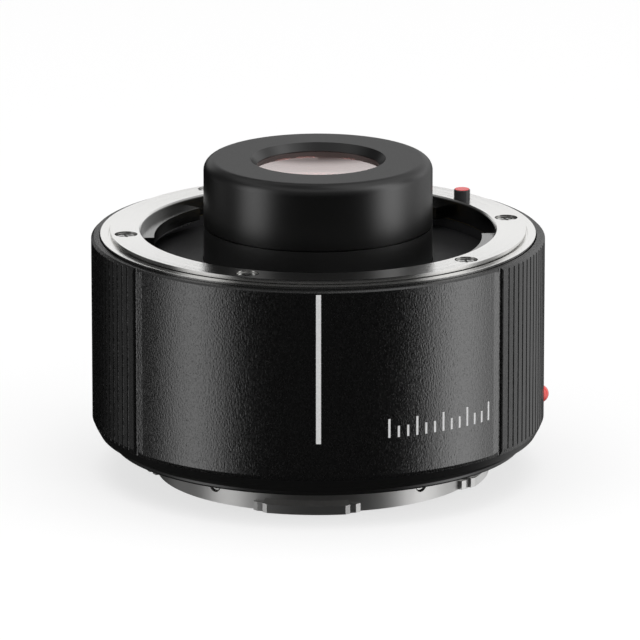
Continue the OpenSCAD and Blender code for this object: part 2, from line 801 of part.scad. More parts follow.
module optical_barrel() {
  z_tube_top = z_lip - slip_fit;
  front_bore_r = front_glass_r + glass_fit;
  rear_bore_r = rear_glass_r + glass_fit;
  color([0.05, 0.05, 0.05])
    difference() {
      rotate_extrude()
        polygon([
          [front_bore_r, z_tube_top], [front_bore_r, z_glass_3_low], [stop_r, z_glass_3_low],
          [stop_r, z_stop_low], [rear_bore_r, z_stop_low], [rear_bore_r, z_tube_low],
          [rear_tube_r, z_tube_low], [rear_tube_r, z_web_top],
          [barrel_flange_r, z_web_top], [barrel_flange_r, z_web_top + barrel_flange_t],
          [hood_r, z_web_top + barrel_flange_t], [hood_r, z_seam],
          [front_tube_r, z_seam], [front_tube_r, z_tube_top],
        ]);
      for (angle = web_screw_angles)
        at_polar(web_screw_r, angle, z_web_top + barrel_flange_t)
          screw_hole(web_screw, 0);
      ribbon_slot();
      flange_reliefs();
    }
}

// Room in the optical barrel's flange for the board posts and the lock bracket
module flange_reliefs() {
  for (angle = post_angles)
    at_polar(post_ring_r, angle, z_web_top - eps)
      cylinder(r = post_r + slip_fit, h = barrel_flange_t + 2 * eps, $fn = 48);
  rotate([0, 0, lock_angle])
    translate([bracket_in_r - slip_fit, -bracket_half_w - slip_fit, z_web_top - eps])
      cube([frame_in_r - bracket_in_r, 2 * bracket_half_w + foot_w + 2 * slip_fit, barrel_flange_t + 2 * eps]);
}

module optical_barrel_screws() {
  color([0.7, 0.7, 0.7])
    for (angle = web_screw_angles)
      at_polar(web_screw_r, angle, z_web_top + barrel_flange_t)
        screw(web_screw);
}

module lens_element_1() {
  color([0.75, 0.78, 0.85, 0.5])
    lens(front_glass_r, z_glass_1_low, z_lip, glass_1_sag);
}

module lens_element_2() {
  color([0.75, 0.82, 0.85, 0.5])
    lens(front_glass_r, z_glass_2_low, z_glass_2_top, glass_2_sag);
}

module lens_element_3() {
  color([0.78, 0.8, 0.85, 0.5])
    lens(front_glass_r, z_glass_3_low, z_glass_3_top, glass_3_sag);
}

module lens_element_4() {
  color([0.75, 0.8, 0.85, 0.5])
    lens(rear_glass_r, z_glass_4_low, z_stop_low, glass_4_sag);
}

module lens_element_5() {
  color([0.75, 0.82, 0.85, 0.5])
    lens(rear_glass_r, z_glass_5_low, z_glass_5_top, glass_5_sag);
}

module lens_element_6() {
  color([0.78, 0.8, 0.85, 0.5])
    lens(rear_glass_r, z_glass_6_low, z_glass_6_top, glass_6_sag);
}

module lens_element_7() {
  color([0.75, 0.82, 0.85, 0.5])
    lens(rear_glass_r, z_glass_7_low, z_glass_7_top, glass_7_sag);
}

module lens_spacer_1() {
  color([0.06, 0.06, 0.06])
    tube(front_glass_r - spacer_wall, front_glass_r, z_glass_2_top, z_glass_1_low);
}

module lens_spacer_2() {
  color([0.06, 0.06, 0.06])
    tube(rear_glass_r - spacer_wall, rear_glass_r, z_glass_5_top, z_glass_4_low);
}

module lens_spacer_3() {
  color([0.06, 0.06, 0.06])
    tube(rear_glass_r - spacer_wall, rear_glass_r, z_glass_7_top, z_glass_6_low);
}

module rear_retainer() {
  notch = [4 * rear_glass_r, 1.2, 0.8];
  color([0.06, 0.06, 0.06])
    difference() {
      tube(rear_glass_r - spacer_wall, rear_glass_r, z_tube_low, z_glass_7_low);
      translate([-notch[0] / 2, -notch[1] / 2, z_tube_low - eps])
        cube(notch);
    }
}

// Camera bayonet

// One lug on the +X side of the spigot: a full-height part with a sloping shoulder, between two end steps
module lug() {
  shoulder_slope = 0.3;
  z_root = lug_t + (lug_r - lug_root_r) * shoulder_slope;
  difference() {
    union() {
      rotate([0, 0, -lug_sweep / 2])
        rotate_extrude(angle = lug_sweep)
          polygon([[lug_root_r, 0], [lug_r, 0], [lug_r, lug_t], [lug_root_r, z_root]]);
      sector(lug_root_r, lug_step_r, 0, lug_t, -lug_step_sweep / 2, lug_step_sweep / 2);
    }
    for (side = [0, 1])
      mirror([0, side, 0]) {
        lug_corner(lug_r, lug_sweep / 2, z_root);
        lug_corner(lug_step_r, lug_step_sweep / 2, z_root);
      }
  }
}

// The cut that bevels the upright corner at the end of a lug or of its step
module lug_corner(r, angle, h) {
  at_polar(r - lug_corner_w, angle, -eps)
    rotate([0, 0, -atan2(lug_corner_l, lug_corner_w)])
      translate([-eps, 0, 0])
        cube([norm([lug_corner_w, lug_corner_l]) + 2 * eps, lug_corner_w, h + 2 * eps]);
}

module rear_bayonet() {
  z_recess = z_flange + flange_screw_sink + flange_screw[1];
  color([0.74, 0.74, 0.74])
    difference() {
      union() {
        rotate_extrude()
          polygon([
            [spigot_in_r, 0], [spigot_r, 0], [spigot_r, z_flange], [flange_r, z_flange],
            [flange_r, z_flange + flange_rim_t], [flange_step_r, z_flange + flange_rim_t],
            [flange_step_r, z_flange_top], [spigot_in_r, z_flange_top],
          ]);
        for (angle = lug_angles)
          rotate([0, 0, angle])
            lug();
      }
      for (angle = flange_screw_angles)
        at_polar(flange_screw_r, angle, z_recess)
          mirror([0, 0, 1])
            screw_hole(flange_screw, z_recess - z_flange + eps);
      at_polar(lock_r, camera_lock_angle, z_flange - eps)
        cylinder(r = lock_hole_d / 2, h = flange_t + 2 * eps, $fn = 64);
      for (angle = baffle_screw_angles)
        facing_out(angle, baffle_screw_h)
          translate([0, 0, spigot_in_r + spigot_wall / 2])
            screw_hole(baffle_screw, spigot_wall);
    }
}

module rear_bayonet_screws() {
  color([0.7, 0.7, 0.7])
    for (angle = flange_screw_angles)
      at_polar(flange_screw_r, angle, z_flange + flange_screw_sink + flange_screw[1])
        mirror([0, 0, 1])
          screw(flange_screw);
}

module rear_shim() {
  color([0.75, 0.68, 0.45])
    difference() {
      tube(spigot_r, flange_step_r - slip_fit, z_flange_top, z_frame_low);
      for (angle = flange_screw_angles)
        at_polar(flange_screw_r, angle, z_frame_low)
          screw_hole(flange_screw, shim_t);
      at_polar(lock_r, camera_lock_angle, z_flange_top - eps)
        cylinder(r = lock_relief_r, h = shim_t + 2 * eps, $fn = 64);
    }
}

module rear_baffle() {
  half_w = aperture_w / 2 - aperture_corner_r;
  half_h = aperture_h / 2 - aperture_corner_r;
  color([0.05, 0.05, 0.05])
    difference() {
      union() {
        tube(baffle_in_r, baffle_r, baffle_rise, z_baffle_top);
        translate([0, 0, z_roof_low])
          cylinder(r = baffle_r, h = baffle_roof_t);
      }
      translate([0, 0, z_roof_low - eps])
        linear_extrude(baffle_roof_t + 2 * eps) {
          square([aperture_w, 2 * half_h], center = true);
          square([2 * half_w, aperture_h], center = true);
          for (x = [-half_w, half_w], y = [-half_h, half_h])
            translate([x, y])
              circle(r = aperture_corner_r, $fn = 48);
        }
      sector(block_in_r - slip_fit, baffle_r + slip_fit, baffle_rise - eps, z_roof_low,
        back_angle - block_cut_angle, back_angle + block_cut_angle);
      for (side = [-1, 1])
        at_polar(contact_r, back_angle + side * block_screw_angle, z_rear_block_screw)
          mirror([0, 0, 1])
            screw_hole(rear_block_screw, 0);
      for (angle = baffle_screw_angles)
        facing_out(angle, baffle_screw_h)
          translate([0, 0, spigot_in_r + spigot_wall / 2])
            screw_hole(baffle_screw, 0);
      translate([-ribbon_w / 2 - ribbon_gap, ribbon_y - ribbon_gap, z_roof_low - eps])
        cube([ribbon_w + 2 * ribbon_gap, ribbon_t + 2 * ribbon_gap, baffle_roof_t + 2 * eps]);
    }
}

module rear_baffle_screws() {
  color([0.7, 0.7, 0.7])
    for (angle = baffle_screw_angles)
      facing_out(angle, baffle_screw_h)
        translate([0, 0, spigot_in_r + spigot_wall / 2])
          screw(baffle_screw);
}

// Contacts

module rear_contact_block() {
  color([0.08, 0.08, 0.085])
    difference() {
      sector(block_in_r, baffle_r, rear_block_rise, z_roof_low,
        back_angle - block_half_angle, back_angle + block_half_angle);
      for (i = [0 : contact_count - 1])
        at_polar(contact_r, contact_angle(i), rear_block_rise - eps)
          cylinder(r = pad_r + running_fit, h = pad_h, $fn = 48);
      for (side = [-1, 1])
        at_polar(contact_r, back_angle + side * block_screw_angle, z_rear_block_screw)
          mirror([0, 0, 1])
            screw_hole(rear_block_screw, z_rear_block_screw);
    }
}

module rear_contact_pads() {
  color([0.83, 0.66, 0.3])
    for (i = [0 : contact_count - 1])
      at_polar(contact_r, contact_angle(i), rear_block_rise - pad_proud)
        cylinder(r = pad_r, h = pad_h + pad_proud - eps, $fn = 48);
}

module rear_contact_screws() {
  color([0.3, 0.3, 0.3])
    for (side = [-1, 1])
      at_polar(contact_r, back_angle + side * block_screw_angle, z_rear_block_screw)
        mirror([0, 0, 1])
          screw(rear_block_screw);
}

module front_contact_block() {
  block_h = z_block_top - z_board_top;
  collar_room_h = block_h - contact_guide_t;
  color([0.08, 0.08, 0.085])
    difference() {
      sector(block_in_r, block_out_r, z_board_top, z_block_top,
        back_angle - block_half_angle, back_angle + block_half_angle);
      for (i = [0 : contact_count - 1])
        at_polar(contact_r, contact_angle(i), z_board_top - eps) {
          cylinder(r = contact_tip_r + running_fit, h = block_h + 2 * eps, $fn = 48);
          cylinder(r = contact_collar_r + running_fit, h = collar_room_h + eps, $fn = 48);
        }
      for (side = [-1, 1])
        at_polar(contact_r, back_angle + side * block_screw_angle, z_front_block_screw)
          screw_hole(front_block_screw, z_block_top);
    }
}

// One sprung contact pin, with a rounded tip and a collar that stays in the block
module contact_pin(i) {
  tip_steps = 6;
  z_tip = z_block_top + contact_rise;
  color([0.85, 0.68, 0.32])
    at_polar(contact_r, contact_angle(i), 0)
      rotate_extrude($fn = 48)
        polygon(concat(
          [
            [0, z_contact_collar_low], [contact_collar_r, z_contact_collar_low],
            [contact_collar_r, z_contact_collar_top], [contact_tip_r, z_contact_collar_top],
          ],
          [for (s = [0 : tip_steps]) let (a = 90 * s / tip_steps)
            [contact_tip_r * cos(a), z_tip - contact_tip_r + contact_tip_r * sin(a)]]
        ));
}

// The springs under the pins, drawn as sleeves at their pressed length
module front_contact_springs() {
  spring_r = contact_collar_r - running_fit;
  color([0.75, 0.75, 0.72])
    for (i = [0 : contact_count - 1])
      at_polar(contact_r, contact_angle(i), 0)
        tube(spring_r - contact_spring_wall, spring_r, z_board_top, z_contact_spring_top, $fn = 48);
}

module front_contact_screws() {
  color([0.3, 0.3, 0.3])
    for (side = [-1, 1])
      at_polar(contact_r, back_angle + side * block_screw_angle, z_front_block_screw)
        screw(front_block_screw);
}

module circuit_board() {
  color([0.05, 0.3, 0.14])
    difference() {
      sector(board_in_r, board_out_r, z_board_low, z_board_top, board_from, board_to);
      for (angle = post_angles)
        at_polar(post_ring_r, angle, z_board_top)
          screw_hole(board_screw, 0);
      for (side = [-1, 1])
        at_polar(contact_r, back_angle + side * block_screw_angle, z_front_block_screw)
          screw_hole(front_block_screw, 0);
    }
}

module circuit_chips() {
  color([0.05, 0.05, 0.055])
    for (angle = chip_angles)
      at_polar(chip_r, angle, z_board_top + chip_size[2] / 2)
        cube(chip_size, center = true);
}

module board_screws() {
  color([0.7, 0.7, 0.7])
    for (angle = post_angles)
      at_polar(post_ring_r, angle, z_board_top)
        screw(board_screw);
}

// Flat ribbon from the board down to the rear contacts
module rear_ribbon() {
  color([0.75, 0.45, 0.12])
    translate([-ribbon_w / 2, ribbon_y, z_roof_low])
      cube([ribbon_w, ribbon_t, z_board_low - z_roof_low]);
}

// Lens lock

module lock_pin() {
  z_nose = z_face + lock_pin_rise;
  z_shank_top = z_face - slip_fit;
  color([0.35, 0.35, 0.36])
    at_polar(lock_r, lock_angle, 0)
      rotate_extrude($fn = 64)
        polygon([
          [0, z_bracket_low + slip_fit], [lock_stem_r, z_bracket_low + slip_fit],
          [lock_stem_r, z_collar_low], [lock_collar_r, z_collar_low], [lock_collar_r, z_collar_top],
          [lock_shank_r, z_collar_top], [lock_shank_r, z_shank_top], [lock_pin_r, z_shank_top],
          [lock_pin_r, z_nose - lock_nose_bevel], [lock_pin_r - lock_nose_bevel, z_nose], [0, z_nose],
        ]);
}

// Points of a coil round the Z axis from a height to another, one ring of points at a time
coil_sides = 6;
coil_rings_per_turn = 16;
coil_rings = ceil(lock_spring_turns * coil_rings_per_turn);
coil_rise = lock_spring_l - lock_wire_d - 2 * touch_gap;
function coil_point(ring, side) =
  let (
    turn = 360 * ring / coil_rings_per_turn,
    height = z_bracket_top + touch_gap + lock_wire_r + coil_rise * ring / coil_rings,
    a = 360 * side / coil_sides,
    r = lock_coil_r + lock_wire_r * cos(a)
  )
  [r * cos(turn), r * sin(turn), height + lock_wire_r * sin(a)];

// Least gap between one turn and the next, measured on the points of the tube
coil_gap = min([
  for (ring = [0 : coil_rings - coil_rings_per_turn], a = [0 : coil_sides - 1], b = [0 : coil_sides - 1])
    norm(coil_point(ring, a) - coil_point(ring + coil_rings_per_turn, b))
]);

module lock_spring() {
  echo(lock_spring_least_gap = coil_gap);
  points = [for (ring = [0 : coil_rings], side = [0 : coil_sides - 1]) coil_point(ring, side)];
  last = coil_rings * coil_sides;
  walls = [
    for (ring = [0 : coil_rings - 1], side = [0 : coil_sides - 1])
      let (
        a = ring * coil_sides + side,
        b = ring * coil_sides + (side + 1) % coil_sides
      )
      each [[a, b, b + coil_sides], [a, b + coil_sides, a + coil_sides]]
  ];
  ends = [
    for (side = [1 : coil_sides - 2])
      each [[0, side + 1, side], [last, last + side, last + side + 1]]
  ];
  color([0.7, 0.7, 0.7])
    at_polar(lock_r, lock_angle, 0)
      polyhedron(points = points, faces = concat(walls, ends), convexity = 8);
}

module lock_bracket() {
  depth = bracket_out_r - bracket_in_r;
  color([0.6, 0.6, 0.6])
    difference() {
      rotate([0, 0, lock_angle])
        translate([bracket_in_r, 0, 0])
          rotate([90, 0, 90])
            linear_extrude(depth)
              polygon([
                [-bracket_half_w, z_bracket_low], [bracket_half_w - bracket_t, z_bracket_low],
                [bracket_half_w - bracket_t, z_web_top], [bracket_half_w + foot_w, z_web_top],
                [bracket_half_w + foot_w, z_web_top + bracket_t], [bracket_half_w, z_web_top + bracket_t],
                [bracket_half_w, z_bracket_top], [-bracket_half_w, z_bracket_top],
              ]);
      at_polar(lock_r, lock_angle, z_bracket_low - eps)
        cylinder(r = lock_stem_r + slip_fit, h = bracket_t + 2 * eps, $fn = 48);
      bracket_screw_place()
        screw_hole(bracket_screw, 0);
    }
}

module bracket_screw_place() {
  rotate([0, 0, lock_angle])
    translate([(bracket_in_r + bracket_out_r) / 2, bracket_half_w + foot_w / 2, z_web_top + bracket_t])
      children();
}

module lock_bracket_screw() {
  color([0.7, 0.7, 0.7])
    bracket_screw_place()
      screw(bracket_screw);
}

module release_slide() {
  fork_in_r = lock_r - lock_shank_r;
  fork_out_r = frame_in_r - slide_gap;
  jaw = lock_shank_r + slip_fit;
  stem_end = knob_in_r - slip_fit;
  color([0.55, 0.55, 0.56])
    rotate([0, 0, lock_angle])
      difference() {
        union() {
          translate([fork_in_r, -fork_half_w, z_fork_low])
            cube([fork_out_r - fork_in_r, 2 * fork_half_w, fork_h]);
          translate([slide_stem_in_r, -slide_stem_half_w, z_slide_stem_low])
            cube([stem_end - slide_stem_in_r, 2 * slide_stem_half_w, slide_stem_h]);
        }
        translate([lock_r, 0, z_fork_low - eps])
          cylinder(r = jaw, h = fork_h + 2 * eps, $fn = 48);
        translate([fork_in_r - eps, -jaw, z_fork_low - eps])
          cube([lock_r - fork_in_r + eps, 2 * jaw, fork_h + 2 * eps]);
        knob_screw_place()
          screw_hole(knob_screw_size, 0);
      }
}

// The knob screw's seat, in the frame of the lock
module knob_screw_place() {
  translate([knob_r - knob_screw_sink - knob_screw_size[1], 0, z_knob_mid])
    rotate([0, 90, 0])
      children();
}

module release_knob() {
  half_w = knob_w / 2 - knob_corner_r;
  z_mid = (z_knob_low + z_knob_top) / 2;
  half_h = (z_knob_top - z_knob_low) / 2 - knob_corner_r;
  color([0.07, 0.07, 0.075])
    rotate([0, 0, lock_angle])
      difference() {
        intersection() {
          rotate_extrude()
            polygon([
              [knob_in_r, z_knob_low], [knob_r - knob_edge, z_knob_low], [knob_r, z_knob_low + knob_edge],
              [knob_r, z_knob_top - knob_edge], [knob_r - knob_edge, z_knob_top], [knob_in_r, z_knob_top],
            ]);
          translate([sleeve_in_r - barrel_wall, 0, z_mid])
            rotate([90, 0, 90])
              linear_extrude(2 * barrel_wall + 2 * knob_t + slide_gap) {
                square([knob_w, 2 * half_h], center = true);
                square([2 * half_w, knob_w + 2 * half_h - 2 * half_w], center = true);
                for (x = [-half_w, half_w], y = [-half_h, half_h])
                  translate([x, y])
                    circle(r = knob_corner_r, $fn = 48);
              }
        }
        for (side = [-1, 1], height = knob_groove_heights)
          translate([0, 0, z_knob_mid + side * height])
            rotate_extrude()
              translate([knob_r, 0])
                circle(r = knob_groove_r, $fn = 24);
        knob_screw_place()
          screw_hole(knob_screw_size, knob_t);
      }
}

module knob_screw() {
  color([0.2, 0.2, 0.2])
    rotate([0, 0, lock_angle])
      knob_screw_place()
        screw(knob_screw_size);
}

outer_barrel();
rear_ring();
mount_seal();
index_dot();
main_frame();
front_bayonet();
front_bayonet_screws();
front_shim();
bayonet_springs();
throat_floor();
front_hood();
optical_barrel();
optical_barrel_screws();
lens_element_1();
lens_element_2();
lens_element_3();
lens_element_4();
lens_element_5();
lens_element_6();
lens_element_7();
lens_spacer_1();
lens_spacer_2();
lens_spacer_3();
rear_retainer();
rear_bayonet();
rear_bayonet_screws();
rear_shim();
rear_baffle();
rear_baffle_screws();
rear_contact_block();
rear_contact_pads();
rear_contact_screws();
front_contact_block();
front_contact_springs();
front_contact_screws();
circuit_board();
circuit_chips();
board_screws();
rear_ribbon();
lock_pin();
lock_spring();
lock_bracket();
lock_bracket_screw();
release_knob();
release_slide();
knob_screw();
for (i = [0 : contact_count - 1])
  contact_pin(i);
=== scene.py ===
import json
import math

import bpy
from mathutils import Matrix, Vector


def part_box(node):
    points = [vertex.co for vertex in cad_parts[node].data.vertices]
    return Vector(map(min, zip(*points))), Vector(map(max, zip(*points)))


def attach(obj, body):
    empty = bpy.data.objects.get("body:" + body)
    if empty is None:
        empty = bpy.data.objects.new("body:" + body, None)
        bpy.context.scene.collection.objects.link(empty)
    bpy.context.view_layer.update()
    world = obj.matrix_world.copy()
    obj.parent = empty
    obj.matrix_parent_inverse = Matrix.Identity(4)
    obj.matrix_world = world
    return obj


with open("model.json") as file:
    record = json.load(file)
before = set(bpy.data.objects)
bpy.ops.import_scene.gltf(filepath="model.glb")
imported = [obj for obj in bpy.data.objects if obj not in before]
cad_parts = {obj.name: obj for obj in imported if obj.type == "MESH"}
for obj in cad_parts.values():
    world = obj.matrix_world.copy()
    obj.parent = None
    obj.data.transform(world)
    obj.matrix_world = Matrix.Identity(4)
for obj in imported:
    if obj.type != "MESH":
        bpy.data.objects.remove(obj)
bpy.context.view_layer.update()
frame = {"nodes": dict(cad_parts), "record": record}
cad_nodes = frame["nodes"]
slot_of_node = {part["node"]: part["material_slot"] for part in frame["record"]["subparts"]}

# Places taken from the frame, in metres
MM = 0.001
panel_radius = -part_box("outer_barrel")[0].y
pin_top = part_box("lock_pin")[1].z
throat_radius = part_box("throat_floor")[1].x

# Camera of the photograph
VIEW_ELEVATION = math.radians(15.1)
VIEW_DISTANCE = 1225 * MM
VIEW_TARGET = Vector((0.308, 0.0, 24.07)) * MM
LENS_LENGTH = 436.7
SENSOR_WIDTH = 36.0
CLIP_NEAR = 0.1
CLIP_FAR = 20.0

# Studio levels, where 1 is white; heights are sines of the elevation, turns are degrees to the right
FILL_LEVEL = 0.5
CEILING_LEVEL = 0.05
FRONT_LEVEL = 0.004
# The paper's turns count from straight behind the object
PAPER_BAND = (0.08, 0.37)
PAPER_TURNS = (-30.0, 62.0)
PAPER_SOFT_TURN = 12.0
PAPER_SOFT_HEIGHT = 0.07
# From turn, to turn, bottom, top, level; turns count from the camera, and the last one goes all round
PANEL_SOFT_TURN = 9.0
PANEL_SOFT_HEIGHT = 0.15
STUDIO_PANELS = (
    (-81.0, -53.0, -0.6, 0.5, 0.78),
    (-128.0, -104.0, -0.6, 0.1, 0.14),
    (63.0, 95.0, -0.6, 0.8, 1.05),
    (90.0, 122.0, -0.6, 0.3, 0.4),
    (118.0, 160.0, -0.6, 0.55, 0.7),
    (150.0, 180.0, -0.1, 0.55, 0.7),
    (40.0, 165.0, 0.5, 1.2, 0.4),
    (-200.0, 200.0, 0.66, 0.9, 0.3),
)

# Lamps: azimuth to the right of the camera, elevation, distance, width, height, watts
SOFT_BOXES = {
    "left_box": (-68.0, 20.0, 0.9, 0.5, 0.8, 2.0),
    "right_box": (82.0, 20.0, 0.9, 0.5, 0.8, 2.4),
    "front_box": (28.0, 40.0, 0.9, 0.5, 0.3, 1.0),
    "floor_light": (0.0, 89.0, 1.2, 1.2, 1.2, 9.0),
}
FLOOR_SIZE = 8.0
FLOOR_COLOUR = (0.9, 0.9, 0.9, 1.0)
FLOOR_GLOW = 0.68

# Noise values between which a gloss or a colour changes
GLOSS_SPAN = (0.3, 0.7)
COLOUR_SPAN = (0.35, 0.65)

# How much a black finish keeps of its shine at a grazing angle
EDGE_DIM = (0.55, 0.55, 0.55, 1.0)

# Nodes with a finish of their own, apart from their slot's
OWN_FINISH = {
    # The optical barrel's finish carries a painted sheen on its collar
    "optical_barrel": "collar_black_painted_sheen",
    "lens_element_1": "front_glass",
    "lens_element_2": "middle_glass",
    "lens_element_3": "middle_glass",
}

# Flat land round the clear face of a lens element, and the width in which its blackening sets in
LENS_LAND = 1.2 * MM
LENS_BLACKING = 0.04 * MM
LENS_EDGE_BLACK = (0.005, 0.005, 0.005)

# Width of the band in which the painted shade inside the mount's throat fades to the bright steel edge
# round it
THROAT_SHADE_FADE = 0.2 * MM

# Depths below the lock pin's top between which its red paint sets in
RED_TIP_DEPTHS = (0.06 * MM, 0.03 * MM)

# White paint on the barrel
PAINT_PROUD = 0.03 * MM
PAINT_SUNK = 0.02 * MM
PAINT_EDGE = 0.015 * MM
INDEX_LINE_TURN = 0.13
INDEX_LINE_W = 0.77 * MM
INDEX_LINE_LOW = 13.9 * MM
INDEX_LINE_HIGH = 37.6 * MM
TICK_W = 0.36 * MM
TICK_LOW = 14.4 * MM
SHORT_TICK_HIGH = 16.2 * MM
LONG_TICK_HIGH = 17.4 * MM
TICK_START = 18.0
TICK_STEP = 2.5
TICK_STEPS_PER_LONG = 3
LONG_TICK_COUNT = 5


def place_camera():
    """The camera that took the photograph, in front of the barrel and a little above it."""
    toward_camera = Vector((0.0, -math.cos(VIEW_ELEVATION), math.sin(VIEW_ELEVATION)))
    bpy.ops.object.camera_add(
        location=VIEW_TARGET + VIEW_DISTANCE * toward_camera,
        rotation=(math.pi / 2 - VIEW_ELEVATION, 0.0, 0.0),
    )
    camera = bpy.context.object
    camera.name = "photo_camera"
    camera.data.lens = LENS_LENGTH
    camera.data.sensor_width = SENSOR_WIDTH
    camera.data.clip_start = CLIP_NEAR
    camera.data.clip_end = CLIP_FAR
    bpy.context.scene.camera = camera


def math_node(tree, operation, first, second=None):
    """A math node on one or two inputs, each a socket or a number."""
    node = tree.nodes.new("ShaderNodeMath")
    node.operation = operation
    for socket, value in zip(node.inputs, (first, second)):
        if value is None:
            continue
        if isinstance(value, (int, float)):
            socket.default_value = value
        else:
            tree.links.new(value, socket)
    return node.outputs["Value"]


def soft_step(tree, value, low, high, to_low=0.0, to_high=1.0):
    """A smooth rise of value from to_low at low to to_high at high."""
    node = tree.nodes.new("ShaderNodeMapRange")
    node.interpolation_type = "SMOOTHSTEP"
    node.inputs["From Min"].default_value = low
    node.inputs["From Max"].default_value = high
    node.inputs["To Min"].default_value = to_low
    node.inputs["To Max"].default_value = to_high
    tree.links.new(value, node.inputs["Value"])
    return node.outputs["Result"]


def window(tree, value, low, high, soft, level):
    """A soft-edged window: level between low and high, nothing outside."""
    rise = soft_step(tree, value, low - soft, low + soft)
    fall = soft_step(tree, value, high - soft, high + soft, level, 0.0)
    return math_node(tree, "MULTIPLY", rise, fall)


def mirrored_studio(tree):
    """What metal and glass see: white paper behind, soft panels, a dark front, a lit ring overhead."""
    direction = tree.nodes.new("ShaderNodeTexCoord").outputs["Generated"]
    split = tree.nodes.new("ShaderNodeSeparateXYZ")
    tree.links.new(direction, split.inputs["Vector"])
    height = split.outputs["Z"]
    front = math_node(tree, "MULTIPLY", split.outputs["Y"], -1.0)
    turn = math_node(tree, "ARCTAN2", split.outputs["X"], front)
    turn_behind = math_node(tree, "ARCTAN2", split.outputs["X"], split.outputs["Y"])
    first, last = (math.radians(edge) for edge in PAPER_TURNS)
    across = window(tree, turn_behind, first, last, math.radians(PAPER_SOFT_TURN), 1.0)
    up = window(tree, height, *PAPER_BAND, PAPER_SOFT_HEIGHT, 1.0)
    paper = math_node(tree, "MULTIPLY", across, up)
    ceiling = soft_step(tree, height, 0.0, PAPER_BAND[0], FRONT_LEVEL, CEILING_LEVEL)
    seen = math_node(tree, "MAXIMUM", paper, ceiling)
    for first, last, bottom, top, level in STUDIO_PANELS:
        turns = (math.radians(edge) for edge in (first, last, PANEL_SOFT_TURN))
        across = window(tree, turn, *turns, level)
        up = window(tree, height, bottom, top, PANEL_SOFT_HEIGHT, 1.0)
        panel = math_node(tree, "MULTIPLY", across, up)
        seen = math_node(tree, "MAXIMUM", seen, panel)
    return seen


def studio_world():
    """White to the camera, the studio in reflections, and a plain even fill for everything else."""
    world = bpy.data.worlds.new("studio")
    world.use_nodes = True
    bpy.context.scene.world = world
    tree = world.node_tree
    tree.nodes.clear()
    path = tree.nodes.new("ShaderNodeLightPath")
    paper = tree.nodes.new("ShaderNodeBackground")
    studio = tree.nodes.new("ShaderNodeBackground")
    fill = tree.nodes.new("ShaderNodeBackground")
    fill.inputs["Strength"].default_value = FILL_LEVEL
    for background in (paper, studio, fill):
        background.inputs["Color"].default_value = (1.0, 1.0, 1.0, 1.0)
    tree.links.new(mirrored_studio(tree), studio.inputs["Strength"])
    glossy, passing = path.outputs["Is Glossy Ray"], path.outputs["Is Transmission Ray"]
    mirrored = math_node(tree, "MAXIMUM", glossy, passing)
    lit_or_mirrored = tree.nodes.new("ShaderNodeMixShader")
    tree.links.new(mirrored, lit_or_mirrored.inputs["Fac"])
    tree.links.new(fill.outputs["Background"], lit_or_mirrored.inputs[1])
    tree.links.new(studio.outputs["Background"], lit_or_mirrored.inputs[2])
    shown = tree.nodes.new("ShaderNodeMixShader")
    tree.links.new(path.outputs["Is Camera Ray"], shown.inputs["Fac"])
    tree.links.new(lit_or_mirrored.outputs["Shader"], shown.inputs[1])
    tree.links.new(paper.outputs["Background"], shown.inputs[2])
    output = tree.nodes.new("ShaderNodeOutputWorld")
    tree.links.new(shown.outputs["Shader"], output.inputs["Surface"])


def add_soft_box(name, azimuth, elevation, distance, width, height, watts):
    """A soft box that lights the object and stays out of its reflections."""
    around, up = math.radians(azimuth), math.radians(elevation)
    place = distance * Vector((
        math.sin(around) * math.cos(up),
        -math.cos(around) * math.cos(up),
        math.sin(up),
    ))
    facing = (-place).to_track_quat("-Z", "Y").to_euler()
    bpy.ops.object.light_add(type="AREA", location=place, rotation=facing)
    lamp = bpy.context.object
    lamp.name = name
    lamp.data.shape = "RECTANGLE"
    lamp.data.size = width
    lamp.data.size_y = height
    lamp.data.energy = watts
    lamp.visible_camera = False
    lamp.visible_glossy = False


def lay_floor():
    """White paper under the object: it shows the shadow, and throws no light back on the barrel."""
    bpy.ops.mesh.primitive_plane_add(size=FLOOR_SIZE)
    floor = bpy.context.object
    floor.name = "paper_floor"
    material = bpy.data.materials.new("paper_floor")
    material.use_nodes = True
    tree = material.node_tree
    tree.nodes.clear()
    paper = tree.nodes.new("ShaderNodeBsdfDiffuse")
    paper.inputs["Color"].default_value = FLOOR_COLOUR
    glow = tree.nodes.new("ShaderNodeEmission")
    path = tree.nodes.new("ShaderNodeLightPath")
    tree.links.new(path.outputs["Is Camera Ray"], glow.inputs["Strength"])
    blend = tree.nodes.new("ShaderNodeMixShader")
    blend.inputs["Fac"].default_value = FLOOR_GLOW
    tree.links.new(paper.outputs["BSDF"], blend.inputs[1])
    tree.links.new(glow.outputs["Emission"], blend.inputs[2])
    output = tree.nodes.new("ShaderNodeOutputMaterial")
    tree.links.new(blend.outputs["Shader"], output.inputs["Surface"])
    floor.data.materials.append(material)
    floor.visible_glossy = False
    floor.visible_diffuse = False
    floor.visible_shadow = False


def new_finish(name, base, roughness, **sockets):
    """A material whose shader holds plain values; sockets are its other inputs by name."""
    material = bpy.data.materials.new(name)
    material.use_nodes = True
    shader = shader_of(material)
    shader.inputs["Base Color"].default_value = (*base, 1.0)
    shader.inputs["Roughness"].default_value = roughness
    for socket, value in sockets.items():
        shader.inputs[socket.replace("_", " ")].default_value = value
    return material


def shader_of(material):
    """The shader of a finish."""
    return material.node_tree.nodes["Principled BSDF"]


